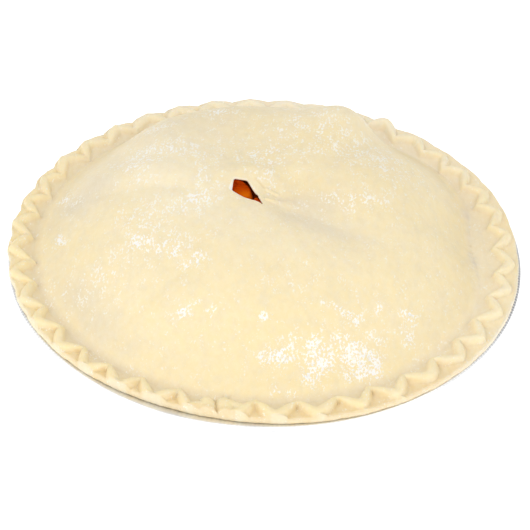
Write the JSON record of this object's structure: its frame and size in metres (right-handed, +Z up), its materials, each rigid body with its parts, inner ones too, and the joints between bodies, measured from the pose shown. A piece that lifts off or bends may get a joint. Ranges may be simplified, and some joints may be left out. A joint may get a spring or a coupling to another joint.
{
  "type": "peach pie",
  "caption": "Round unbaked fruit pie with a domed lid, a crimped rim and a steam vent, in its shallow foil tin.",
  "frame": {"origin": "centre of the tin's flat foot, on the surface that it stands on", "axes": "+Z up through the pie, -Y towards the front of the picture, +X to its right"},
  "size_m": [0.248, 0.248, 0.0627],
  "materials": {
    "raw_dough": "matte raw shortcrust dough, pale cream, with flour on it",
    "peach_filling": "wet sliced peaches in syrup",
    "foil": "thin bright aluminium foil, lightly creased"
  },
  "bodies": {
    "root": {"crust": "raw_dough", "filling": "peach_filling", "tin": "foil"}
  },
  "joints": []
}
